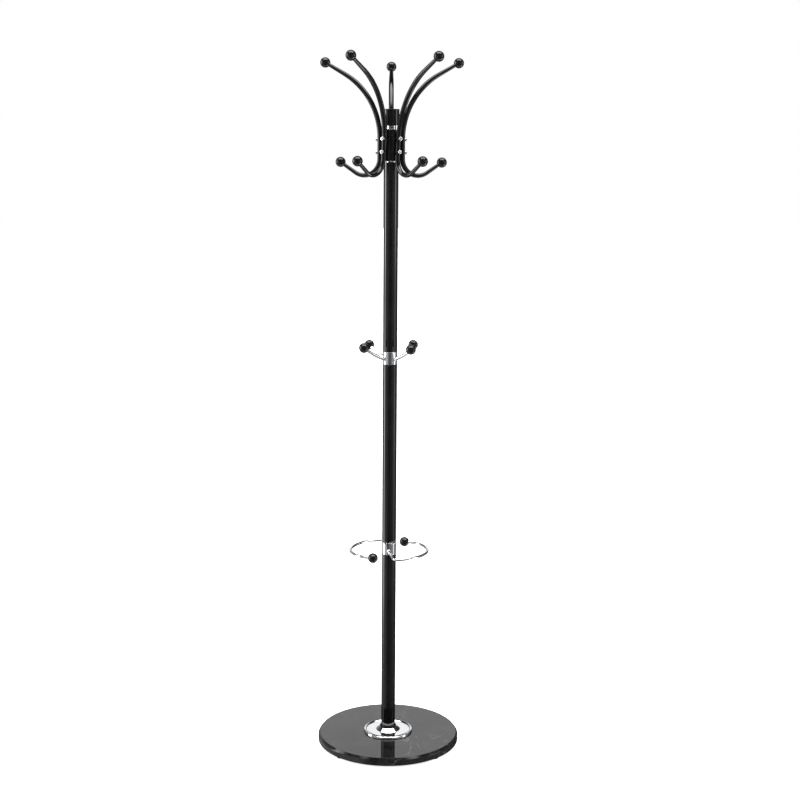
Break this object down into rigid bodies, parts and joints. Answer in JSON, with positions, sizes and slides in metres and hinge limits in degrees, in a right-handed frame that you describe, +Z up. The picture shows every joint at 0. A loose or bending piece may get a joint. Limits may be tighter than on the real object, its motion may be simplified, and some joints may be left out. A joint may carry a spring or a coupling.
{
  "type": "standing coat rack",
  "caption": "Free-standing coat rack: round marble base, black pole, chromed umbrella rings, middle hooks and a swivelling crown of ball-tipped double hooks.",
  "frame": {"origin": "on the floor, on the pole's axis, in the plane of the undersides of the feet", "axes": "+Z up along the pole; -Y is the front, where the leg of the right umbrella ring leaves its collar; +X is to the right as seen from the front"},
  "size_m": [0.38, 0.3846, 1.8227],
  "materials": {
    "marble": "polished black marble with faint pale veins",
    "rubber": "matt black",
    "chrome": "mirror bright",
    "steel": "bright zinc plate",
    "black_enamel": "gloss black enamel",
    "black_plastic": "gloss black, moulded",
    "nylon": "natural nylon"
  },
  "bodies": {
    "stand": {"marble_base": "marble", "foot_1": "rubber", "foot_2": "rubber", "foot_3": "rubber", "foot_4": "rubber", "pole_foot_ring": "rubber", "base_dish": "chrome", "umbrella_collar": "chrome", "hook_collar": "chrome", "crown_lower_ring": "chrome", "crown_upper_ring": "chrome", "umbrella_ring_1": "chrome", "umbrella_ring_2": "chrome", "middle_hook_1": "chrome", "middle_hook_2": "chrome", "middle_hook_3": "chrome", "middle_hook_4": "chrome", "base_bolt": "steel", "base_washer": "steel", "umbrella_joint_stud": "steel", "hook_joint_stud": "steel", "crown_spindle": "steel", "lower_tube": "black_enamel", "middle_tube": "black_enamel", "upper_tube": "black_enamel", "top_tube": "black_enamel", "top_cap": "black_plastic", "umbrella_ball_1": "black_plastic", "umbrella_ball_2": "black_plastic", "middle_ball_1": "black_plastic", "middle_ball_2": "black_plastic", "middle_ball_3": "black_plastic", "middle_ball_4": "black_plastic"},
    "crown": {"crown_sleeve": "black_enamel", "swivel_bush": "nylon", "crown_hook_1": "black_enamel", "hook_screw_1a": "steel", "hook_screw_1b": "steel", "upper_ball_1": "black_plastic", "lower_ball_1": "black_plastic", "crown_hook_2": "black_enamel", "hook_screw_2a": "steel", "hook_screw_2b": "steel", "upper_ball_2": "black_plastic", "lower_ball_2": "black_plastic", "crown_hook_3": "black_enamel", "hook_screw_3a": "steel", "hook_screw_3b": "steel", "upper_ball_3": "black_plastic", "lower_ball_3": "black_plastic", "crown_hook_4": "black_enamel", "hook_screw_4a": "steel", "hook_screw_4b": "steel", "upper_ball_4": "black_plastic", "lower_ball_4": "black_plastic", "crown_hook_5": "black_enamel", "hook_screw_5a": "steel", "hook_screw_5b": "steel", "upper_ball_5": "black_plastic", "lower_ball_5": "black_plastic"}
  },
  "joints": [
    {"name": "crown_swivel", "type": "hinge", "parent": "stand", "child": "crown", "pos_m": [0, 0, 1.599], "axis": [0, 0, 1], "continuous": true}
  ]
}
